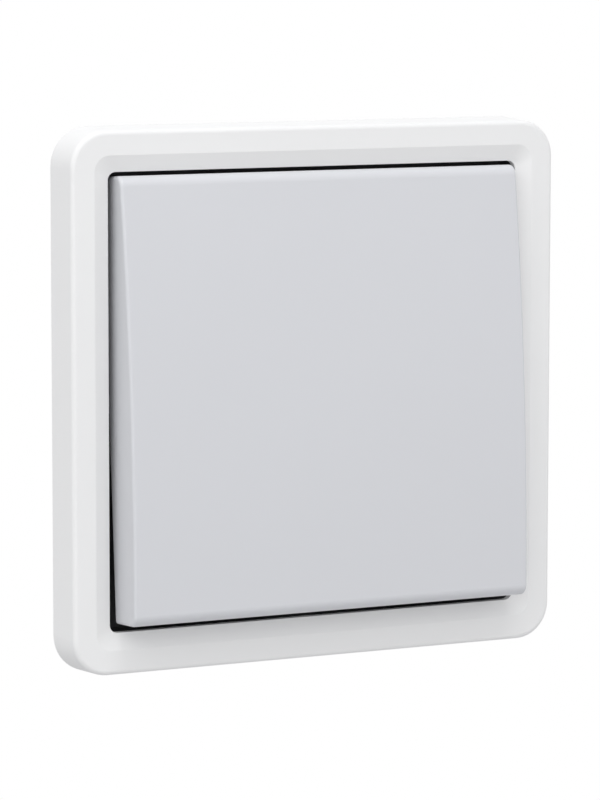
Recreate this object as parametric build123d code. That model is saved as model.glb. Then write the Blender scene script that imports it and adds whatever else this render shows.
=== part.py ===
"""Flush-mounted weatherproof rocker switch, built as it comes apart on a bench.

X runs to the right, Z up and Y into the wall, whose surface is the plane Y = 0.
All lengths are millimetres and all angles degrees.
"""

import os
from math import cos, radians, sin, sqrt, tan

from build123d import *

# Wall box, which sets the size of everything in front of it
box_spacing = 60.0

# Cover frame, from its outer edge to the opening
frame_depth = 7.25
frame_corner = 6.1
frame_draft = 0.4
frame_edge_round = 0.75
band_width = 3.8
slope_width = 2.6
slope_drop = 0.94
fold_corner = 2.6
fold_round = 0.35
opening_corner = 1.3
lip_thickness = 1.16
frame_wall = 2.0
rib_wall = 1.2

# Carrier behind the frame, with its snap noses and screw tabs
carrier_wall = 1.4
carrier_inset = 0.1
carrier_play = 0.1
nose_length = 6.0
nose_height = 1.0
nose_proud = 0.6
nose_spread = 44.0
nose_play = 0.15
tab_width = 8.0
tab_thickness = 1.3
tab_centre_z = 11.0
tab_length = 8.0

# Seals
gasket_stem = 1.2
gasket_foot = 1.0
gasket_step = 1.4
seal_thickness = 0.4
seal_flange = 4.0
seal_relief = 0.8
sleeve_wall = 1.3
sleeve_height = 5.0
sleeve_bead = 0.3

# Steel support ring and the screws into the wall box
ring_border = 5.5
ring_margin = 0.2
ring_thickness = 0.8
ring_corner = 5.0
bead_length = 30.0
bead_width = 2.4
bead_rise = 0.4
bead_offset = 6.5
slot_length = 7.0
slot_half_width = 1.9
box_screw_radius = 1.55
box_screw_length = 20.0
box_head_radius = 3.2
box_head_height = 2.0
shoulder_play = 0.1
ring_play = 0.3
ring_hole_corner = 0.6
sliver = 0.01

# Rocker and its hinge
rocker_gap = 1.1
rocker_proud = 5.0
crown_radius = 480.0
end_round = 1.75
side_round = 0.5
cap_wall = 1.8
half_tilt = 3.93
pivot_proud = 1.0
skirt_clearance = 0.3
pin_radius = 2.0
pin_play = 0.05

# Cradle that carries the rocker
cradle_width = 33.0
cradle_height = 24.0
cradle_wall = 1.5
cradle_recess = 3.62
cradle_side_play = 0.5
boss_wall = 0.8
cradle_swing_play = 0.45
cradle_end_play = 1.5
hook_width = 9.0
hook_thickness = 1.4
hook_nose = 0.9
hook_play = 0.2
hook_swing_play = 0.6
hook_depth = 3.6
rib_thickness = 1.2
skirt_rib_depth = 7.2
seat_rib_x = 11.0
strut_x = 12.0

# Insert housing
insert_margin = 1.0
insert_corner = 6.0
insert_chamfer = 2.0
cover_thickness = 2.0
tower_width = 3.5
tower_wall = 1.55
boss_swing_play = 1.2
floor_thickness = 5.0
works_side = 5.0
works_end = 3.0
works_corner = 2.0

# Plunger and spring
plunger_radius = 2.0
guide_wall = 1.4
guide_reach = 8.0
plunger_reach = 14.0
plunger_tail = 3.0
spring_wire = 0.25
spring_turns = 5
spring_sides = 8
spring_play = 0.1

# Contact lever, which rocks on a knife edge
lever_half_tilt = 8.0
lever_width = 6.0
lever_length = 26.0
lever_thickness = 1.0
groove_depth = 0.3
groove_half_angle = 60.0
lever_corner = 2.0
knife_play = 0.05
plunger_play = 0.05
contact_radius = 2.0
contact_height = 0.8
contact_reach = 10.5
contact_play = 0.05

# Conducting strips, terminals and their screws
strip_thickness = 0.8
strip_width = 5.0
knife_base = 1.8
ear_thickness = 0.8
ear_height = 3.4
ear_play = 0.3
fixed_contact_height = 0.95
pillar_size = 7.0
pillar_height = 9.0
pillar_corner = 0.6
pillar_z = 10.0
pillar_seat = 0.6
pillar_play = 0.3
wire_radius = 1.7
wire_grip = 7.5
screw_share = 0.6
entry_radius = 1.9
entry_chamfer = 0.6
terminal_screw_radius = 1.75
terminal_head_radius = 2.2
terminal_head_height = 2.4
terminal_head_chamfer = 0.25
terminal_screw_length = 3.0
terminal_recess = 1.6
access_play = 0.3

# Small screws
insert_screw_radius = 1.25
insert_screw_length = 12.0
insert_head_radius = 2.1
insert_head_height = 1.2
insert_screw_inset = 3.0
insert_screw_gap = 0.1
tab_screw_radius = 1.3
tab_screw_length = 6.0
tab_head_radius = 2.1
tab_head_height = 1.3
screw_play = 0.2
recess_width = 0.7
recess_share = 0.6
head_chamfer = 0.45

# Depths, worked out from the wall inwards and outwards
face_y = -frame_depth
lip_y = face_y + slope_drop
plate_back_y = lip_y + lip_thickness
ring_front_y = -ring_thickness
seal_front_y = ring_front_y - seal_thickness
tab_front_y = seal_front_y - tab_thickness
pivot_y = -pivot_proud
crown_y = face_y - rocker_proud
cradle_front_y = crown_y + cradle_recess

# Half sizes of the square outlines, from the ring outwards and then inwards
ring_half = box_spacing / 2 + ring_border
opening_half = ring_half + ring_margin
fold_half = opening_half + slope_width
face_half = fold_half + band_width
frame_half = face_half + frame_draft
rocker_half = opening_half - rocker_gap
carrier_inner = opening_half + carrier_inset
carrier_outer = carrier_inner + carrier_wall
rib_inner = carrier_outer + carrier_play
rib_outer = rib_inner + rib_wall
groove_outer = frame_half - frame_wall
cradle_half_x = cradle_width / 2
cradle_half_z = cradle_height / 2

# The pressed end of the rocker stops just short of the seal, which sets how deep its skirt is
tilt_sin = sin(radians(half_tilt))
tilt_cos = cos(radians(half_tilt))
skirt_back_y = pivot_y + (seal_front_y - skirt_clearance - pivot_y - rocker_half * tilt_sin) / tilt_cos

# Towers, sleeve and tabs stand clear of the cradle, one outside the other
tower_inner = cradle_half_x + cradle_side_play
tower_outer = tower_inner + tower_width
tower_radius = pin_radius + pin_play + tower_wall
boss_radius = pin_radius + boss_wall
hook_inner = cradle_half_z + hook_play
hook_outer = hook_inner + hook_thickness
ring_hole_x = tower_outer + ring_play
ring_hole_z = cradle_half_z + cradle_end_play
sleeve_inner_x = ring_hole_x + hook_play
sleeve_inner_z = hook_outer + hook_swing_play
sleeve_outer_x = sleeve_inner_x + sleeve_wall
sleeve_outer_z = sleeve_inner_z + sleeve_wall
sleeve_front_y = ring_front_y - sleeve_height
tab_inner_x = sleeve_outer_x + seal_relief
tab_screw_x = tab_inner_x + tab_length / 2
insert_screw_z = sleeve_outer_z + sleeve_bead + insert_screw_gap + insert_head_radius
insert_half_x = tower_outer + insert_margin
insert_half_z = insert_screw_z + insert_screw_inset
insert_screw_x = insert_half_x - insert_screw_inset

# The lever's knife edge lies where the plunger just clears the flat lever
knife_y = pivot_y + plunger_reach + plunger_play + lever_thickness - groove_depth
lever_back_y = knife_y + groove_depth
lever_front_y = lever_back_y - lever_thickness
lever_sin = sin(radians(lever_half_tilt))
lever_cos = cos(radians(lever_half_tilt))
closed_y = knife_y + (groove_depth + contact_height) * lever_cos + contact_reach * lever_sin
fixed_front_y = closed_y + contact_radius * lever_sin + contact_play
strip_front_y = fixed_front_y + fixed_contact_height
strip_back_y = strip_front_y + strip_thickness
pillar_back_y = strip_back_y + pillar_seat
pillar_front_y = pillar_back_y - pillar_height
insert_back_y = pillar_back_y + floor_thickness
terminal_y = pillar_back_y - wire_grip * screw_share
pillar_x = insert_half_x - terminal_recess - terminal_head_height - pillar_size / 2

hinge = Axis((0, pivot_y, 0), (1, 0, 0))
knife = Axis((0, knife_y, 0), (1, 0, 0))
pillars = [(-pillar_x, 0), (pillar_x, pillar_z), (pillar_x, -pillar_z)]


def at_depth(y):
    """Drawing plane seen from the front, at one depth."""
    return Plane.XZ.offset(-y)


def slab(profile, back, front):
    """A front view made solid between two depths."""
    return extrude(at_depth(back) * profile, back - front)


def rounded(half_x, half_z, corner):
    """Rounded rectangle of the given half sizes."""
    return RectangleRounded(2 * half_x, 2 * half_z, corner)


def band(outer, inner, corner, back, front):
    """Square ring of even wall."""
    outside = rounded(outer, outer, corner + outer - inner)
    return slab(outside - rounded(inner, inner, corner), back, front)


def rod(radius, x, z, back, front):
    """Round bar along Y."""
    return slab(Pos(x, z) * Circle(radius), back, front)


def cross_bar(radius, start, end, y, z):
    """Round bar along X."""
    return extrude(Plane.YZ.offset(start) * Pos(y, z) * Circle(radius), end - start)


def block(x_range, y_range, z_range):
    """Plain block between two corners."""
    sizes = [high - low for low, high in (x_range, y_range, z_range)]
    middle = [(high + low) / 2 for low, high in (x_range, y_range, z_range)]
    return Pos(*middle) * Box(*sizes)


def mirrored(shape, plane):
    """A shape together with its mirror image."""
    return [shape, mirror(shape, about=plane)]


def screw(x, z, seat, length, shank, head_radius, head_height):
    """Pan-head screw along Y with a cross recess, its head on the given depth."""
    head = rod(head_radius, x, z, seat, seat - head_height)
    head = chamfer(head.edges().group_by(Axis.Y)[0], head_chamfer)
    span = 2 * head_radius * recess_share
    cross = Rectangle(span, recess_width) + Rectangle(recess_width, span)
    head -= slab(Pos(x, z) * cross, seat - head_height / 2, seat - head_height)
    return head + rod(shank, x, z, seat + length, seat)


def cover_frame():
    """White outer frame: flat band, inward slope, gasket groove and snap rib behind."""
    foot = at_depth(0) * rounded(frame_half, frame_half, frame_corner)
    face = at_depth(face_y) * rounded(face_half, face_half, frame_corner - frame_draft)
    shell = loft([foot, face])
    shell = fillet(shell.edges().group_by(Axis.Y)[0], frame_edge_round)
    fold = at_depth(face_y) * rounded(fold_half, fold_half, fold_corner)
    lip = at_depth(lip_y) * rounded(opening_half, opening_half, opening_corner)
    shell -= loft([lip, fold])
    shell = fillet(shell.edges().filter_by_position(Axis.Y, face_y - sliver, face_y + sliver)
                   .filter_by(lambda edge: edge.bounding_box().max.X < fold_half + sliver
                              and edge.bounding_box().min.X > -fold_half - sliver), fold_round)
    shell -= slab(rounded(opening_half, opening_half, opening_corner), 0, lip_y)
    shell -= slab(rounded(rib_inner, rib_inner, opening_corner + rib_inner - opening_half), 0, plate_back_y)
    shell -= band(groove_outer, rib_outer, frame_corner - frame_wall, 0, plate_back_y)
    for nose in snap_noses(nose_play):
        shell -= nose
    return shell


def snap_noses(play):
    """Wedge-shaped noses on the carrier's four sides, or their pockets with some play."""
    middle_y = (plate_back_y + seal_front_y) / 2
    half_height = nose_height / 2 + play
    inner = carrier_outer - carrier_wall / 2
    reach = carrier_outer + nose_proud + play
    corners = [(inner, middle_y - half_height), (carrier_outer, middle_y - half_height),
               (reach, middle_y + half_height / 2), (reach, middle_y + half_height),
               (inner, middle_y + half_height)]
    wedge = extrude(make_face(Polyline(*corners, close=True)), nose_length / 2 + play, both=True)
    noses = []
    for quarter in range(4):
        for place in (-nose_spread / 2, nose_spread / 2):
            noses.append(Rot(0, 90 * quarter, 0) * Pos(0, 0, place) * wedge)
    return noses


def frame_gasket():
    """Rubber cord in the frame's rear groove, broad at its root and where it meets the wall."""
    middle = (rib_outer + groove_outer) / 2
    corner = frame_corner - frame_wall
    stem = band(middle + gasket_stem / 2, middle - gasket_stem / 2, corner, 0, plate_back_y)
    for back in (plate_back_y + gasket_foot, plate_back_y + gasket_foot + gasket_step, 0):
        stem += band(groove_outer, rib_outer, corner, back, back - gasket_foot)
    return stem


def carrier():
    """Black inner ring that the frame snaps onto, with four tabs for the screws."""
    corner = opening_corner + carrier_inset
    body = band(carrier_outer, carrier_inner, corner, seal_front_y, plate_back_y)
    for nose in snap_noses(0):
        body += nose
    for x_side in (-1, 1):
        for z_side in (-1, 1):
            tab = block((tab_inner_x, carrier_inner + carrier_wall / 2), (tab_front_y, seal_front_y),
                        (tab_centre_z - tab_width / 2, tab_centre_z + tab_width / 2))
            pad = block((tab_inner_x, carrier_inner - seal_flange - seal_relief),
                        (seal_front_y, ring_front_y),
                        (tab_centre_z - tab_width / 2, tab_centre_z + tab_width / 2))
            hole = rod(tab_screw_radius + screw_play, tab_screw_x, tab_centre_z, 0, tab_front_y)
            piece = tab + pad - hole
            if x_side < 0:
                piece = mirror(piece, about=Plane.YZ)
            if z_side < 0:
                piece = mirror(piece, about=Plane.XY)
            body += piece
    return body


def flush_seal():
    """Soft flat seal on the ring's edge, with a rim round it that meets the wall."""
    corner = opening_corner + carrier_inset
    inner = carrier_inner - seal_flange
    rim_inner = ring_half + ring_margin
    outline = rounded(carrier_outer, carrier_outer, corner + carrier_wall)
    seal = slab(outline - rounded(inner, inner, corner), ring_front_y, seal_front_y)
    seal += slab(outline - rounded(rim_inner, rim_inner, ring_corner), 0, ring_front_y)
    for turn in (0, 90, 180, 270):
        head = Pos(box_spacing / 2, 0) * Circle(box_head_radius + seal_relief)
        seal -= slab(Rot(0, 0, turn) * head, 0, seal_front_y)
    return seal


def support_ring():
    """Stamped steel ring: insert opening, four box-screw slots and the screw holes."""
    outline = rounded(ring_half, ring_half, ring_corner)
    outline -= rounded(ring_hole_x, ring_hole_z, ring_hole_corner)
    for turn in (0, 90, 180, 270):
        slot = SlotOverall(slot_length, 2 * slot_half_width)
        outline -= Rot(0, 0, turn) * Pos(box_spacing / 2, 0) * slot
    for x_side in (-1, 1):
        for z_side in (-1, 1):
            outline -= Pos(x_side * tab_screw_x, z_side * tab_centre_z) * Circle(tab_screw_radius)
            outline -= Pos(x_side * insert_screw_x, z_side * insert_screw_z) * \
                Circle(insert_screw_radius + screw_play)
    ring = slab(outline, 0, ring_front_y)
    for z in (-ring_hole_z - bead_offset, ring_hole_z + bead_offset):
        bead = Pos(0, z) * SlotOverall(bead_length, bead_width)
        ring += slab(bead, ring_front_y, ring_front_y - bead_rise)
        groove = Pos(0, z) * SlotOverall(bead_length - 2 * bead_rise, bead_width - 2 * bead_rise)
        ring -= slab(groove, 0, -bead_rise)
    return ring


def sealing_sleeve():
    """Soft sleeve on the ring, round the cradle, with a bead along its front edge."""
    corner = sleeve_wall + ring_play
    inside = rounded(sleeve_inner_x, sleeve_inner_z, ring_play)
    sleeve = slab(rounded(sleeve_outer_x, sleeve_outer_z, corner) - inside, ring_front_y, sleeve_front_y)
    bead = rounded(sleeve_outer_x + sleeve_bead, sleeve_outer_z + sleeve_bead, corner + sleeve_bead) - inside
    sleeve += slab(bead, sleeve_front_y + 2 * sleeve_bead, sleeve_front_y)
    return sleeve


def insert_cover():
    """Front plate of the insert with the two towers that hold the hinge pins."""
    outline = rounded(insert_half_x, insert_half_z, insert_corner)
    outline -= Rectangle(2 * tower_inner, 2 * (boss_radius + boss_swing_play))
    for x_side in (-1, 1):
        for z_side in (-1, 1):
            outline -= Pos(x_side * insert_screw_x, z_side * insert_screw_z) * \
                Circle(insert_screw_radius + screw_play)
    plate = slab(outline, cover_thickness, 0)
    tower = cross_bar(tower_radius, tower_inner, tower_outer, pivot_y, 0)
    foot = block((tower_inner, tower_outer), (pivot_y, cover_thickness), (-tower_radius, tower_radius))
    tower = (tower & block((tower_inner, tower_outer), (pivot_y - tower_radius, pivot_y),
                           (-tower_radius, tower_radius))) + foot
    bore = cross_bar(pin_radius + pin_play, tower_inner, tower_outer, pivot_y, 0)
    for side in mirrored(tower, Plane.YZ):
        plate += side
    for side in mirrored(bore, Plane.YZ):
        plate -= side
    return plate


def insert_base():
    """Deep rear housing: the works in the middle and one pocket for each terminal."""
    body = slab(rounded(insert_half_x, insert_half_z, insert_corner), insert_back_y, cover_thickness)
    body = chamfer(body.edges().group_by(Axis.Y)[-1], insert_chamfer)
    works = rounded(lever_width / 2 + works_side, lever_length / 2 + works_end, works_corner)
    body -= slab(works, strip_back_y, cover_thickness)
    pocket = pillar_size / 2 + pillar_play
    for x, z in pillars:
        side = 1 if x > 0 else -1
        body -= slab(Pos(x, z) * Rectangle(2 * pocket, 2 * pocket), pillar_back_y, cover_thickness)
        channel = (min(x, 0), max(x, 0))
        half = strip_width / 2 + pillar_play
        body -= block(channel, (cover_thickness, strip_back_y), (z - half, z + half))
        body -= rod(entry_radius, x, z, insert_back_y, pillar_back_y)
        mouth = [edge for edge in body.edges().filter_by(GeomType.CIRCLE).group_by(Axis.Y)[-1]
                 if abs(edge.arc_center.X - x) < 1 and abs(edge.arc_center.Z - z) < 1]
        body = chamfer(mouth, entry_chamfer)
        access = cross_bar(terminal_head_radius + access_play, abs(x), insert_half_x, terminal_y, z)
        body -= access if side > 0 else mirror(access, about=Plane.YZ)
    for x_side in (-1, 1):
        for z_side in (-1, 1):
            body -= rod(insert_screw_radius, x_side * insert_screw_x, z_side * insert_screw_z,
                        ring_front_y + insert_screw_length, cover_thickness)
    return body


def terminal_pillar(x, z):
    """Brass block with a blind wire hole from behind and a threaded hole from the side."""
    half = pillar_size / 2
    body = slab(Pos(x, z) * rounded(half, half, pillar_corner), pillar_back_y, pillar_front_y)
    body -= rod(wire_radius, x, z, pillar_back_y, pillar_back_y - wire_grip)
    thread = cross_bar(terminal_screw_radius, abs(x), abs(x) + half, terminal_y, z)
    return body - (thread if x > 0 else mirror(thread, about=Plane.YZ))


def terminal_screw(x, z):
    """Slotted screw that holds the wire, driven from the side of the insert."""
    seat = abs(x) + pillar_size / 2
    head = cross_bar(terminal_head_radius, seat, seat + terminal_head_height, terminal_y, z)
    head = chamfer(head.edges().group_by(Axis.X)[-1], terminal_head_chamfer)
    half = recess_width / 2
    head -= block((seat + terminal_head_height / 2, seat + terminal_head_height),
                  (terminal_y - terminal_head_radius, terminal_y + terminal_head_radius),
                  (z - half, z + half))
    shank = cross_bar(terminal_screw_radius, seat - terminal_screw_length, seat, terminal_y, z)
    whole = head + shank
    return whole if x > 0 else mirror(whole, about=Plane.YZ)


def contact_strip(z_side):
    """Flat strip from a traveller's pillar to the place of its fixed contact."""
    near = pillar_x - pillar_size / 2
    z = z_side * pillar_z
    arm = block((0, near), (strip_front_y, strip_back_y), (z - strip_width / 2, z + strip_width / 2))
    return arm + rod(strip_width / 2, 0, z, strip_back_y, strip_front_y)


def common_strip():
    """Strip of the common terminal, bent up into the knife edge and two guide ears."""
    near = -pillar_x + pillar_size / 2
    half = lever_width / 2
    outer = half + ear_play + ear_thickness
    arm = block((near, outer), (strip_front_y, strip_back_y), (-strip_width / 2, strip_width / 2))
    edge = knife_y + knife_play
    wedge = make_face(Polyline((strip_front_y, -knife_base / 2), (strip_front_y, knife_base / 2),
                               (edge + knife_base, knife_base / 2), (edge, 0),
                               (edge + knife_base, -knife_base / 2), close=True))
    arm += extrude(Plane.YZ * wedge, half, both=True)
    for ear in mirrored(block((half + ear_play, outer), (lever_front_y, strip_front_y),
                              (-ear_height / 2, ear_height / 2)), Plane.YZ):
        arm += ear
    return arm


def fixed_contacts():
    """Silver buttons on the two traveller strips."""
    height = (strip_front_y, fixed_front_y)
    return [rod(contact_radius, 0, side * contact_reach, *height) for side in (1, -1)]


def contact_lever():
    """Copper lever, waisted between the ears and grooved where it rocks."""
    wide = rounded(lever_width / 2 + ear_play, lever_length / 2, lever_corner)
    waist = Rectangle(lever_width, lever_width + 2 * ear_play)
    outline = wide - Rectangle(2 * lever_width, lever_width + 2 * ear_play) + waist
    lever = slab(outline, lever_back_y, lever_front_y)
    half = groove_depth * tan(radians(groove_half_angle))
    groove = make_face(Polyline((lever_back_y, -half), (lever_back_y, half), (knife_y, 0), close=True))
    lever -= extrude(Plane.YZ * groove, lever_width, both=True)
    return lever.rotate(knife, lever_half_tilt)


def lever_contacts():
    """Silver buttons on the back of the lever."""
    back = lever_back_y + contact_height
    buttons = [rod(contact_radius, 0, side * contact_reach, back, lever_back_y) for side in (1, -1)]
    return [button.rotate(knife, lever_half_tilt) for button in buttons]


def rocker_section(inset, back):
    """Side view of the rocker: shallow crown in front, rounded ends, straight back."""
    half = rocker_half - inset
    crown = crown_y + inset
    end = crown + crown_radius - sqrt(crown_radius**2 - half**2)
    face = ThreePointArc((end, -half), (crown, 0), (end, half))
    rest = Polyline((end, half), (back, half), (back, -half), (end, -half))
    section = make_face(face + rest)
    return fillet(section.vertices().group_by(Axis.X)[0], max(end_round - inset, end_round / 4))


def rocker_cap():
    """Large rocker: crowned face, deep skirt, ribs onto the cradle and four snap hooks."""
    blank = extrude(Plane.YZ * rocker_section(0, skirt_back_y), rocker_half, both=True)
    for side in (0, -1):
        outline = blank.faces().sort_by(Axis.X)[side].edges()
        front = [edge for edge in outline if edge.center().Y < skirt_back_y - side_round]
        blank = fillet(front, side_round)
    hollow = extrude(Plane.YZ * rocker_section(cap_wall, skirt_back_y), rocker_half - cap_wall, both=True)
    inner = cap_wall / 2
    core = extrude(Plane.YZ * rocker_section(inner, skirt_back_y), rocker_half - inner, both=True)
    cap = (blank - hollow) + (rocker_ribs() & core)
    return cap.rotate(hinge, -half_tilt)


def rocker_ribs():
    """Ribs under the rocker's face: seats on the cradle, a splash rib and the hooks."""
    front = crown_y + cap_wall / 2
    seat = Rectangle(cradle_width, rib_thickness) + Rectangle(rib_thickness, cradle_height)
    for x in (-seat_rib_x, seat_rib_x):
        seat += Pos(x, 0) * Rectangle(rib_thickness, cradle_height)
    ribs = slab(seat, cradle_front_y, front)
    inner_x = sleeve_outer_x + sleeve_bead + ring_play
    inner_z = sleeve_outer_z + sleeve_bead + ring_play
    corner = rib_thickness + ring_play
    splash = rounded(inner_x + rib_thickness, inner_z + rib_thickness, corner)
    splash -= rounded(inner_x, inner_z, ring_play)
    ribs += slab(splash, crown_y + skirt_rib_depth, front)
    for x in (-strut_x, strut_x):
        for side in mirrored(slab(Pos(x, inner_z) * Rectangle(rib_thickness, 2 * rib_thickness)
                                  + Pos(x, (inner_z + rocker_half) / 2)
                                  * Rectangle(rib_thickness, rocker_half - inner_z),
                                  cradle_front_y, front), Plane.XY):
            ribs += side
    nose_front = cradle_front_y + hook_depth
    tip = nose_front + 2 * hook_nose
    leg = make_face(Polyline((front, hook_inner), (nose_front, hook_inner),
                             (nose_front, hook_inner - hook_nose), (tip, hook_inner),
                             (tip, hook_outer), (front, hook_outer), close=True))
    for leg_side in mirrored(extrude(Plane.YZ * leg, hook_width / 2, both=True), Plane.XY):
        ribs += leg_side
    return ribs


def rocker_cradle():
    """Moulded cradle: seat for the rocker, windows for its hooks, hinge pins, plunger guide."""
    back = -cradle_half_z * tilt_sin - cradle_swing_play
    body = block((-cradle_half_x, cradle_half_x), (cradle_front_y, back), (-cradle_half_z, cradle_half_z))
    inner_x = cradle_half_x - cradle_wall
    inner_z = cradle_half_z - cradle_wall
    body -= block((-inner_x, inner_x), (cradle_front_y + cradle_wall, back), (-inner_z, inner_z))
    window_front = cradle_front_y + hook_depth - hook_play
    window_back = cradle_front_y + hook_depth + 2 * hook_nose + hook_play
    half = hook_width / 2 + hook_play
    body -= block((-half, half), (window_front, window_back), (-cradle_half_z, cradle_half_z))
    for side in (-1, 1):
        inner = side * inner_x
        outer = side * cradle_half_x
        end = side * (tower_outer - pin_play)
        body += cross_bar(boss_radius, min(inner, outer), max(inner, outer), pivot_y, 0)
        body += cross_bar(pin_radius, min(inner, end), max(inner, end), pivot_y, 0)
    guide_outer = plunger_radius + pin_play + guide_wall
    guide_back = pivot_y + guide_reach
    body += rod(guide_outer, 0, 0, guide_back, cradle_front_y)
    for turn in (0, 90):
        web = Rot(0, 0, turn) * Rectangle(2 * inner_x if turn == 0 else 2 * inner_z, rib_thickness)
        body += slab(web, cradle_front_y + 2 * cradle_wall, cradle_front_y)
    body -= rod(plunger_radius + pin_play, 0, 0, guide_back, cradle_front_y + cradle_wall)
    return body.rotate(hinge, -half_tilt)


def plunger():
    """Sprung pin with a ball nose, which pushes the lever over."""
    nose = pivot_y + plunger_reach
    tail = pivot_y + plunger_tail
    centre = nose - plunger_radius
    shaft = rod(plunger_radius, 0, 0, centre, tail)
    shaft += Pos(0, centre, 0) * Sphere(plunger_radius)
    return shaft.rotate(hinge, -half_tilt)


def plunger_spring():
    """Wire spring between the cradle's front wall and the plunger's tail, its wire eight-sided."""
    start = cradle_front_y + cradle_wall + spring_wire + spring_play
    end = pivot_y + plunger_tail - spring_wire - spring_play
    radius = plunger_radius - spring_wire - spring_play
    length = end - start
    path = Helix(pitch=length / spring_turns, height=length, radius=radius,
                 center=(0, start, 0), direction=(0, 1, 0))
    section = Plane(origin=path @ 0, z_dir=path % 0) * RegularPolygon(spring_wire, spring_sides)
    wire = sweep(section, path=path)
    return wire.rotate(hinge, -half_tilt)


def box_screw(x):
    """Long screw into the wall box, with a shoulder as deep as the ring's slot."""
    body = screw(x, 0, ring_front_y, box_screw_length, box_screw_radius, box_head_radius, box_head_height)
    return body + rod(slot_half_width - shoulder_play, x, 0, 0, ring_front_y)


def screws_at(places, *sizes):
    """Equal screws at several places."""
    return [screw(x, z, *sizes) for x, z in places]


def four_places(x, z):
    """The four corners of a rectangle."""
    return [(x, z), (-x, z), (x, -z), (-x, -z)]


def build():
    """Every piece by its name."""
    insert_sizes = (ring_front_y, insert_screw_length, insert_screw_radius,
                    insert_head_radius, insert_head_height)
    tab_sizes = (tab_front_y, tab_screw_length, tab_screw_radius, tab_head_radius, tab_head_height)
    return {
        "cover_frame": cover_frame(),
        "frame_gasket": frame_gasket(),
        "carrier": carrier(),
        "carrier_screws": screws_at(four_places(tab_screw_x, tab_centre_z), *tab_sizes),
        "flush_seal": flush_seal(),
        "support_ring": support_ring(),
        "box_screws": [box_screw(-box_spacing / 2), box_screw(box_spacing / 2)],
        "sealing_sleeve": sealing_sleeve(),
        "insert_cover": insert_cover(),
        "insert_base": insert_base(),
        "insert_screws": screws_at(four_places(insert_screw_x, insert_screw_z), *insert_sizes),
        "terminal_pillars": [terminal_pillar(x, z) for x, z in pillars],
        "terminal_screws": [terminal_screw(x, z) for x, z in pillars],
        "common_strip": common_strip(),
        "upper_strip": contact_strip(1),
        "lower_strip": contact_strip(-1),
        "fixed_contacts": fixed_contacts(),
        "rocker_cap": rocker_cap(),
        "rocker_cradle": rocker_cradle(),
        "plunger": plunger(),
        "plunger_spring": plunger_spring(),
        "contact_lever": contact_lever(),
        "lever_contacts": lever_contacts(),
    }


os.makedirs("parts", exist_ok=True)
for name, shape in build().items():
    whole = Compound(children=shape) if isinstance(shape, list) else shape
    export_step(whole, f"parts/{name}.step")
print(f"hinge at y {pivot_y:.3f}, knife edge at y {knife_y:.3f}, swing {2 * half_tilt:.2f} degrees")
print(f"pillars at x {pillar_x:.3f}, insert from y {cover_thickness:.3f} to {insert_back_y:.3f}")
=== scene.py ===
# %% [markdown]
# # A flush weatherproof rocker switch
#
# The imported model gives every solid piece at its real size, in metres, with X to the right, Z up and Y into
# the wall. This lesson leaves those solids alone and dresses them: it aims the camera as the photograph was
# taken, lights the switch softly from above, gives each piece the finish of its real material, and adds the
# fine things that are too small for the construction model, such as screw threads.

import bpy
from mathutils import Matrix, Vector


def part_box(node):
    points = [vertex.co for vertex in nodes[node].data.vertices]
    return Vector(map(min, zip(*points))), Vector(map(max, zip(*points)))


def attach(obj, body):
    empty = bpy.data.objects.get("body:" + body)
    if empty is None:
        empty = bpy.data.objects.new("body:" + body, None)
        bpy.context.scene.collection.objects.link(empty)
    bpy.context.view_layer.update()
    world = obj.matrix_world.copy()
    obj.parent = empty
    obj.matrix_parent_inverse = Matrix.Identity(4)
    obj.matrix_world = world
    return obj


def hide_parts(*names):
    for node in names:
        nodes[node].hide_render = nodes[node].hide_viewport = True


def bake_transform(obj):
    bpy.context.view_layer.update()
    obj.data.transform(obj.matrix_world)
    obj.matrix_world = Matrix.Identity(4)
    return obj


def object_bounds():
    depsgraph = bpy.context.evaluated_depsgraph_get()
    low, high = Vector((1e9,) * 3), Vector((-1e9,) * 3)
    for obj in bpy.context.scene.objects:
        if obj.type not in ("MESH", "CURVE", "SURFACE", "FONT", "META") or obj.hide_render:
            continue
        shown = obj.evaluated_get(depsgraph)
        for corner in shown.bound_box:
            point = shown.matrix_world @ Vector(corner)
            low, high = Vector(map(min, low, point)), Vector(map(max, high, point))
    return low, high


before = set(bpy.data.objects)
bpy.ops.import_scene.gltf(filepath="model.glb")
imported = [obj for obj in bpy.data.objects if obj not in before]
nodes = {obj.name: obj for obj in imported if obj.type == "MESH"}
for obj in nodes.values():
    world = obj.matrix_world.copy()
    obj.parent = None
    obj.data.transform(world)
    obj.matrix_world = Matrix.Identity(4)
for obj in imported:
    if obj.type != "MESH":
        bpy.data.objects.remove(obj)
cad_low, cad_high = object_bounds()
print(len(nodes), "solid pieces between", tuple(cad_low), "and", tuple(cad_high))

# %% Modules and two units
from math import cos, pi, radians, sin

import bpy
from mathutils import Matrix, Vector

MM = 0.001
frame_low, frame_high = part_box("cover_frame")
print("frame", [round(side / MM, 2) for side in frame_high - frame_low], "mm")

# %% [markdown]
# ## The camera
#
# The photograph was taken from the left of the switch and slightly above it, from far enough away that the
# square hardly converges. Its place was found by matching the frame's outline and its opening, so it is
# given as an azimuth, an elevation and a distance from the middle of the wall plane. The lens is a long one:
# 178.5 mm on a 36 mm sensor, whose long side is the picture's height.

# %% Aim the camera
CAMERA_AZIMUTH = radians(26.533)
CAMERA_ELEVATION = radians(6.657)
CAMERA_DISTANCE = 631.0 * MM
LOOK_YAW = radians(26.558)
LOOK_DOWN = radians(6.825)
LOOK_ROLL = radians(0.058)
LENS = 178.5
SENSOR_WIDTH = 36
CLIP_START = 10 * MM
CLIP_END = 50


def level_direction(yaw, down):
    """Unit vector that points away from the viewer, turned to the right by yaw and tipped down."""
    return Vector((sin(yaw) * cos(down), cos(yaw) * cos(down), -sin(down)))


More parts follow.
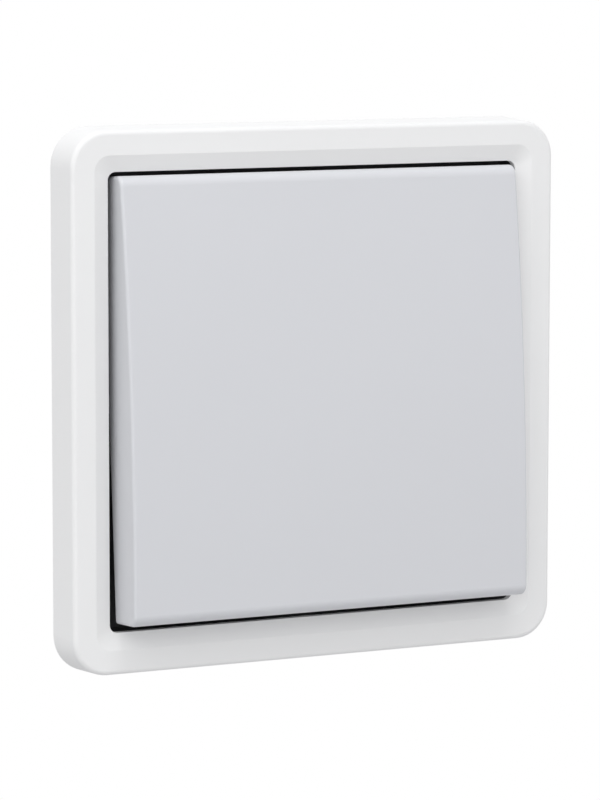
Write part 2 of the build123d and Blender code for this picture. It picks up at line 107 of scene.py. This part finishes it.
def add_camera():
    data = bpy.data.cameras.new("camera")
    data.lens = LENS
    data.sensor_width = SENSOR_WIDTH
    data.sensor_fit = "AUTO"
    data.clip_start = CLIP_START
    data.clip_end = CLIP_END
    camera = bpy.data.objects.new("camera", data)
    bpy.context.scene.collection.objects.link(camera)
    ahead = level_direction(LOOK_YAW, LOOK_DOWN)
    right = Vector((cos(LOOK_YAW), -sin(LOOK_YAW), 0))
    up = right.cross(ahead)
    turned_right = right * cos(LOOK_ROLL) + up * sin(LOOK_ROLL)
    turned_up = up * cos(LOOK_ROLL) - right * sin(LOOK_ROLL)
    axes = Matrix((turned_right, turned_up, -ahead)).transposed().to_4x4()
    place = -level_direction(CAMERA_AZIMUTH, CAMERA_ELEVATION) * CAMERA_DISTANCE
    camera.matrix_world = Matrix.Translation(place) @ axes
    bpy.context.scene.camera = camera
    return camera


camera = add_camera()
print("camera at", [round(x / MM, 1) for x in camera.matrix_world.translation], "mm")

# %% [markdown]
# ## Helpers for materials
#
# Colours are written as the hex values that a painter's colour picker gives, so one function turns them into
# the linear numbers that the shader wants. A second adds a node with its settings and links, so that each
# material below reads as a list of what is in it.

# %% Colour and node helpers


def colour(hex_value):
    """Linear RGBA of an sRGB colour such as 'E8E6E1'."""
    parts = [int(hex_value[i:i + 2], 16) / 255 for i in (0, 2, 4)]
    return [c / 12.92 if c <= 0.04045 else ((c + 0.055) / 1.055) ** 2.4 for c in parts] + [1]


def add(tree, kind, settings=None, **inputs):
    """A node of this kind. An input is a value, or a (node, output) pair to link."""
    node = tree.nodes.new("ShaderNode" + kind)
    for name, value in (settings or {}).items():
        setattr(node, name, value)
    for name, value in inputs.items():
        key = int(name[1:]) if name[1:].isdigit() else name.replace("_", " ")
        if isinstance(value, tuple) and isinstance(value[0], bpy.types.Node):
            tree.links.new(value[0].outputs[value[1]], node.inputs[key])
        else:
            node.inputs[key].default_value = value
    return node


def new_material(name, **shader):
    """A material with its Principled shader, whose constant values are set on its own sockets."""
    material = bpy.data.materials.new(name)
    material.use_nodes = True
    tree = material.node_tree
    tree.nodes.clear()
    surface = add(tree, "BsdfPrincipled")
    for key, value in shader.items():
        surface.inputs[key.replace("_", " ")].default_value = value
    add(tree, "OutputMaterial", Surface=(surface, "BSDF"))
    return material, tree, surface


def object_point(tree, stretch=(1, 1, 1)):
    """Object coordinates, stretched where a finish runs one way."""
    place = add(tree, "TexCoord")
    return add(tree, "Mapping", Vector=(place, "Object"), Scale=stretch)


def per_metre(size_mm):
    """Noise scale whose features are about this many millimetres across."""
    return 1 / (size_mm * MM)


print("white in linear light", [round(c, 3) for c in colour("EEEEEE")[:3]])

# %% [markdown]
# ## Moulded plastics
#
# The frame and the rocker are injection moulded, in a UV-stable plastic such as ASA. The steel mould was
# spark eroded, which leaves a fine grain that scatters the gloss but doesn't show as colour. A noise texture
# does the same job as a bump, drawn a little coarser than the real grain, and a much larger and very weak one
# keeps big faces from looking drawn with a ruler. The index of refraction is that of the plastic.

# %% Moulded plastic
PLASTIC_INDEX = 1.53
WAVINESS_MM = 28


def moulded_plastic(name, hex_value, roughness, grain_mm, grain_depth_mm, drift=0.012):
    """Injection-moulded plastic: even colour, spark-eroded grain and a trace of surface waviness."""
    material, tree, surface = new_material(name, Roughness=roughness, IOR=PLASTIC_INDEX)
    point = object_point(tree)
    drift_noise = add(tree, "TexNoise", Vector=(point, 0), Scale=per_metre(WAVINESS_MM), Detail=2.0)
    base = colour(hex_value)
    light = [min(1, c * (1 + drift)) for c in base[:3]] + [1]
    dark = [c * (1 - drift) for c in base[:3]] + [1]
    mix = add(tree, "Mix", {"data_type": "RGBA"}, i0=(drift_noise, 0), i6=dark, i7=light)
    tree.links.new(mix.outputs[2], surface.inputs["Base Color"])
    grain = add(tree, "TexNoise", Vector=(point, 0), Scale=per_metre(grain_mm), Detail=3.0,
                Roughness=0.6)
    bump = add(tree, "Bump", Height=(grain, 0), Strength=1.0, Distance=grain_depth_mm * MM)
    tree.links.new(bump.outputs[0], surface.inputs["Normal"])
    return material


frame_white = moulded_plastic("moulded_asa_white", "EFEFEE", 0.4, 0.35, 0.006)
rocker_grey = moulded_plastic("moulded_asa_light_grey", "D4D5D8", 0.31, 0.3, 0.003)
carrier_black = moulded_plastic("glass_filled_polyamide_black", "3A3A3C", 0.55, 0.5, 0.012, 0.06)
cradle_natural = moulded_plastic("polyamide_natural", "DEDACD", 0.4, 0.6, 0.004, 0.02)
insert_grey = moulded_plastic("urea_thermoset_grey", "B4B6B4", 0.5, 0.45, 0.010, 0.035)
seal_black = moulded_plastic("elastomer_black", "2E2E30", 0.72, 0.25, 0.010, 0.08)
print("plastics:", frame_white.name, rocker_grey.name, carrier_black.name)

# %% [markdown]
# ## Metals
#
# The support ring and the screws are steel with a bright zinc plate: a bluish grey whose gloss is broken by
# the rolled strip below. Brass, copper and silver keep the default index and differ only in colour and in how
# rough the tool left them. Rolled and turned surfaces have fine lines, drawn here a little coarser than real.

# %% Metals
PATCH_MM = 9
DULLEST = 0.86
SMOOTHEST, ROUGHEST = 0.85, 1.2


def worked_metal(name, hex_value, roughness, line_mm, line_depth_mm, stretch):
    """Bare or plated metal with the fine lines that rolling or turning leaves."""
    material, tree, surface = new_material(name, Metallic=1.0)
    point = object_point(tree, stretch)
    lines = add(tree, "TexNoise", Vector=(point, 0), Scale=per_metre(line_mm), Detail=4.0)
    patches = add(tree, "TexNoise", Vector=(object_point(tree), 0), Scale=per_metre(PATCH_MM), Detail=3.0)
    base = colour(hex_value)
    dull = [c * DULLEST for c in base[:3]] + [1]
    mix = add(tree, "Mix", {"data_type": "RGBA"}, i0=(patches, 0), i6=dull, i7=base)
    tree.links.new(mix.outputs[2], surface.inputs["Base Color"])
    spread = add(tree, "MapRange", Value=(patches, 0), i3=roughness * SMOOTHEST, i4=roughness * ROUGHEST)
    tree.links.new(spread.outputs[0], surface.inputs["Roughness"])
    bump = add(tree, "Bump", Height=(lines, 0), Strength=1.0, Distance=line_depth_mm * MM)
    tree.links.new(bump.outputs[0], surface.inputs["Normal"])
    return material


rolled = (1, 1, 0.04)
even = (1, 1, 1)
zinc_sheet = worked_metal("zinc_plated_steel_sheet", "C6CACE", 0.34, 0.25, 0.003, rolled)
zinc_screw = worked_metal("zinc_plated_steel_screw", "CCD0D4", 0.28, 0.3, 0.003, even)
spring_wire = worked_metal("drawn_spring_wire", "A9A9AA", 0.3, 0.1, 0.002, even)
brass = worked_metal("machined_brass", "D2AE62", 0.26, 0.2, 0.003, even)
copper = worked_metal("stamped_copper_alloy", "C98A62", 0.3, 0.2, 0.003, rolled)
silver = worked_metal("silver_contact", "DCDAD5", 0.3, 0.2, 0.002, even)
print("metals:", zinc_sheet.name, brass.name, copper.name)

# %% [markdown]
# ## Dress the solid pieces
#
# A solid's mesh is never changed: only its material slots are filled. Each piece takes the finish of its own
# real material, by name.

# %% Give each solid its finish
finishes = {
    frame_white: ["cover_frame"],
    rocker_grey: ["rocker_cap"],
    carrier_black: ["carrier"],
    seal_black: ["frame_gasket", "flush_seal", "sealing_sleeve"],
    cradle_natural: ["rocker_cradle", "plunger"],
    insert_grey: ["insert_cover", "insert_base"],
    zinc_sheet: ["support_ring"],
    zinc_screw: ["box_screws", "carrier_screws", "insert_screws", "terminal_screws"],
    spring_wire: ["plunger_spring"],
    brass: ["terminal_pillars"],
    copper: ["common_strip", "upper_strip", "lower_strip", "contact_lever"],
    silver: ["fixed_contacts", "lever_contacts"],
}
for finish, names in finishes.items():
    for name in names:
        nodes[name].data.materials.clear()
        nodes[name].data.materials.append(finish)
        print(name, "wears", finish.name)
left_bare = set(nodes) - {name for names in finishes.values() for name in names}
print("pieces without a finish:", sorted(left_bare))

# %% [markdown]
# ## Screw threads
#
# The construction model leaves each shank a plain cylinder. A real one has a ridge that winds round it. A
# solid's mesh is never cut, so no groove is sunk into the shank: the ridge is added on its skin and stands 0.2
# mm outside it. One turn of a triangle would be a ring, so the triangle is wound along the screw by a Screw
# modifier instead, which is applied at once. The two long screws turn in the wall box's threaded domes, so
# theirs is fine. The four short ones hold in the thin plate of the support ring, and theirs is coarser. The
# same function winds the plunger's spring further down.

# %% Wind a profile round an axis
STEPS_PER_TURN = 20
MERGE_DISTANCE = 0.001 * MM


def wind(name, sides, thickness, reach, pitch, start_y, end_y):
    """Wire or ridge round the Y axis: a profile of so many sides at this reach, wound from start to end."""
    bpy.ops.object.select_all(action="DESELECT")
    bpy.ops.mesh.primitive_circle_add(vertices=sides, radius=thickness, location=(0, start_y, 0),
                                      rotation=(0, 0, -pi / 2))
    wound = bpy.context.object
    wound.name = name
    bpy.ops.object.transform_apply(location=False, rotation=True, scale=True)
    bpy.ops.object.mode_set(mode="EDIT")
    bpy.ops.mesh.select_all(action="SELECT")
    bpy.ops.transform.translate(value=(reach, 0, 0))
    bpy.ops.object.mode_set(mode="OBJECT")
    winding = wound.modifiers.new("winding", "SCREW")
    winding.axis = "Y"
    winding.screw_offset = pitch
    winding.iterations = round((end_y - start_y) / pitch)
    winding.steps = winding.render_steps = STEPS_PER_TURN
    bpy.ops.object.modifier_apply(modifier="winding")
    bpy.ops.object.mode_set(mode="EDIT")
    bpy.ops.mesh.select_all(action="SELECT")
    bpy.ops.mesh.remove_doubles(threshold=MERGE_DISTANCE)
    bpy.ops.mesh.select_all(action="DESELECT")
    bpy.ops.mesh.select_mode(type="EDGE")
    bpy.ops.mesh.select_non_manifold()
    bpy.ops.mesh.fill()
    bpy.ops.mesh.select_all(action="SELECT")
    bpy.ops.mesh.normals_make_consistent(inside=False)
    bpy.ops.object.mode_set(mode="OBJECT")
    bpy.ops.object.transform_apply(location=True, rotation=False, scale=False)
    return wound


def copies_at(thread, places):
    """The thread moved to the first place, and a copy with its own mesh at each of the others."""
    ridges = [thread]
    for _ in places[1:]:
        ridge = thread.copy()
        ridge.data = thread.data.copy()
        bpy.context.scene.collection.objects.link(ridge)
        ridges.append(ridge)
    for ridge, (x, z) in zip(ridges, places):
        ridge.location.x = x
        ridge.location.z = z
    bpy.ops.object.select_all(action="DESELECT")
    for ridge in ridges:
        ridge.select_set(True)
    bpy.context.view_layer.objects.active = thread
    bpy.ops.object.join()
    bpy.ops.object.transform_apply(location=True, rotation=True, scale=True)
    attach(thread, "mounting")
    thread.data.materials.clear()
    thread.data.materials.append(zinc_screw)
    return thread


print("a wound piece has", STEPS_PER_TURN, "steps a turn")

# %% Thread the box screws and the carrier screws
THREAD_START = 0.4 * MM
THREAD_BITE = 0.06 * MM
BOX_SHANK, BOX_CREST, BOX_PITCH = 1.55 * MM, 1.75 * MM, 0.6 * MM
TAB_SHANK, TAB_CREST, TAB_PITCH = 1.3 * MM, 1.5 * MM, 1.1 * MM
TAB_HEAD_RADIUS = 2.1 * MM
TRIANGLE_SPAN = 1.5


def wind_thread(name, shank, crest, pitch, tip_y):
    """Ridge of three sides, from just under the shank's skin out to the crest, that stops short of the tip."""
    ridge = (crest - shank + THREAD_BITE) / TRIANGLE_SPAN
    turns = int((tip_y - ridge - THREAD_START) / pitch)
    return wind(name, 3, ridge, crest - ridge, pitch, THREAD_START, THREAD_START + turns * pitch)


box_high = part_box("box_screws")[1]
box_x = box_high.x - box_high.z
box_thread = wind_thread("box_screw_threads", BOX_SHANK, BOX_CREST, BOX_PITCH, box_high.y)
copies_at(box_thread, [(box_x, 0), (-box_x, 0)])
tab_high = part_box("carrier_screws")[1]
tab_x = tab_high.x - TAB_HEAD_RADIUS
tab_z = tab_high.z - TAB_HEAD_RADIUS
tab_thread = wind_thread("carrier_screw_threads", TAB_SHANK, TAB_CREST, TAB_PITCH, tab_high.y)
copies_at(tab_thread, [(x, z) for x in (tab_x, -tab_x) for z in (tab_z, -tab_z)])
for thread in (box_thread, tab_thread):
    depths = [vertex.co.y / MM for vertex in thread.data.vertices]
    print(thread.name, len(thread.data.polygons), "faces at y", round(min(depths), 2),
          "to", round(max(depths), 2), "mm")

# %% [markdown]
# ## The plunger's spring
#
# A small compression spring of drawn wire pushes the plunger onto the contact lever. It lies inside the
# rocker's guide, which leans with the rocker. The construction model's spring is rigid, so here a round wire
# with more turns takes its place.

# %% Coil the spring
WIRE_RADIUS = 0.25 * MM
COIL_TURNS = 7
WIRE_SIDES = 10
ROCKER_LEAN = radians(3.93)
SMOOTH_BELOW = radians(50)

spring_low, spring_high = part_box("plunger_spring")
middle = (spring_low + spring_high) / 2
coil_radius = (spring_high.x - spring_low.x) / 2 - WIRE_RADIUS
half_depth = (spring_high.y - spring_low.y) / 2
half_length = (half_depth - coil_radius * sin(ROCKER_LEAN) - WIRE_RADIUS) / cos(ROCKER_LEAN)
coil_pitch = 2 * half_length / COIL_TURNS
spring = wind("coil_spring", WIRE_SIDES, WIRE_RADIUS, coil_radius, coil_pitch, -half_length, half_length)
spring.rotation_euler.x = -ROCKER_LEAN
spring.location = middle
bpy.ops.object.transform_apply(location=True, rotation=True, scale=True)
bpy.ops.object.shade_smooth_by_angle(angle=SMOOTH_BELOW)
spring.data.materials.clear()
spring.data.materials.append(spring_wire)
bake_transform(spring)
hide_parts("plunger_spring")
print(spring.name, len(spring.data.polygons), "faces,", round(2 * half_length / MM, 2), "mm long")

# %% [markdown]
# ## Floor and light
#
# The switch hangs where a wall would hold it, so the floor lies well below it and catches its shadow. To the
# camera, the floor fades to plain white away from the switch, as in a studio whose paper runs up out of
# focus. Four soft lamps do the shading: the key lamp high at the left, a side lamp lower down beyond it, one
# almost overhead for the top edges, and a front lamp near the camera. The even light of the room fills the
# rest. Where the switch lights up from it, the paper is a light grey rather than white, so that less light
# bounces up under the rocker.

# %% Floor
FLOOR_DROP = 100 * MM
FLOOR_HALF = 20
CLEAR_RADIUS = 0.16
WHITE_RADIUS = 0.3


def seen_directly(tree):
    """1 for rays that reach the eye directly, by reflection or through glass, and 0 for the light that
    surfaces get."""
    path = add(tree, "LightPath")
    glossy = add(tree, "Math", {"operation": "MAXIMUM"}, i0=(path, "Is Camera Ray"), i1=(path, "Is Glossy Ray"))
    return add(tree, "Math", {"operation": "MAXIMUM"}, i0=(glossy, 0), i1=(path, "Is Transmission Ray"))


def add_floor():
    bpy.ops.object.select_all(action="DESELECT")
    bpy.ops.mesh.primitive_plane_add(size=2 * FLOOR_HALF, location=(0, 0, cad_low.z - FLOOR_DROP))
    floor = bpy.context.object
    floor.name = "floor"
    material = bpy.data.materials.new("studio_paper")
    material.use_nodes = True
    tree = material.node_tree
    tree.nodes.clear()
    paper = add(tree, "BsdfDiffuse", Color=colour("CDCDCD"))
    white = add(tree, "Emission", Color=(1, 1, 1, 1), Strength=1.0)
    place = add(tree, "TexCoord")
    away = add(tree, "VectorMath", {"operation": "LENGTH"}, i0=(place, "Object"))
    fade = add(tree, "MapRange", {"interpolation_type": "SMOOTHSTEP"}, Value=(away, "Value"),
               i1=CLEAR_RADIUS, i2=WHITE_RADIUS)
    both = add(tree, "Math", {"operation": "MULTIPLY"}, i0=(fade, 0), i1=(seen_directly(tree), 0))
    mix = add(tree, "MixShader", i0=(both, 0), i1=(paper, 0), i2=(white, 0))
    add(tree, "OutputMaterial", Surface=(mix, 0))
    floor.data.materials.append(material)
    return floor


floor = add_floor()
print("floor at", round(floor.location.z / MM, 1), "mm")

# %% Room light and lamps
ROOM_LIGHT = 0.70
BACKDROP_LIGHT = 0.72
ROOM_TINT = (0.985, 0.99, 1.02, 1)
LAMP_DISTANCE = 0.8
BACKDROP_FROM, BACKDROP_FULL = -0.1, 0.4


def add_room_light():
    world = bpy.data.worlds.new("room")
    bpy.context.scene.world = world
    world.use_nodes = True
    tree = world.node_tree
    tree.nodes.clear()
    place = add(tree, "TexCoord")
    towards = add(tree, "SeparateXYZ", Vector=(place, "Generated"))
    strength = add(tree, "MapRange", {"interpolation_type": "SMOOTHSTEP"}, Value=(towards, "Y"),
                   i1=BACKDROP_FROM, i2=BACKDROP_FULL, i3=ROOM_LIGHT, i4=BACKDROP_LIGHT)
    light = add(tree, "Background", Color=ROOM_TINT, Strength=(strength, 0))
    backdrop = add(tree, "Background", Color=(1, 1, 1, 1), Strength=1.0)
    mix = add(tree, "MixShader", i0=(seen_directly(tree), 0), i1=(light, 0), i2=(backdrop, 0))
    add(tree, "OutputWorld", Surface=(mix, 0))


def add_lamp(name, azimuth, elevation, size, power):
    """Square soft lamp that faces the middle of the switch, from the left and above where positive."""
    data = bpy.data.lights.new(name, "AREA")
    data.shape = "SQUARE"
    data.size = size
    data.energy = power
    lamp = bpy.data.objects.new(name, data)
    bpy.context.scene.collection.objects.link(lamp)
    ahead = level_direction(radians(azimuth), radians(elevation))
    lamp.location = -ahead * LAMP_DISTANCE
    lamp.rotation_euler = ahead.to_track_quat("-Z", "Y").to_euler()
    return lamp


add_room_light()
key = add_lamp("key", 50, 55, 0.8, 1.0)
side = add_lamp("side", 65, 38, 0.6, 0.87)
overhead = add_lamp("overhead", 5, 62, 0.3, 1.2)
front = add_lamp("front", 15, 15, 0.6, 0.88)
bpy.context.scene.view_settings.view_transform = "Standard"
for lamp in (key, side, overhead, front):
    print(lamp.name, lamp.data.energy, "W at", [round(x, 2) for x in lamp.location])
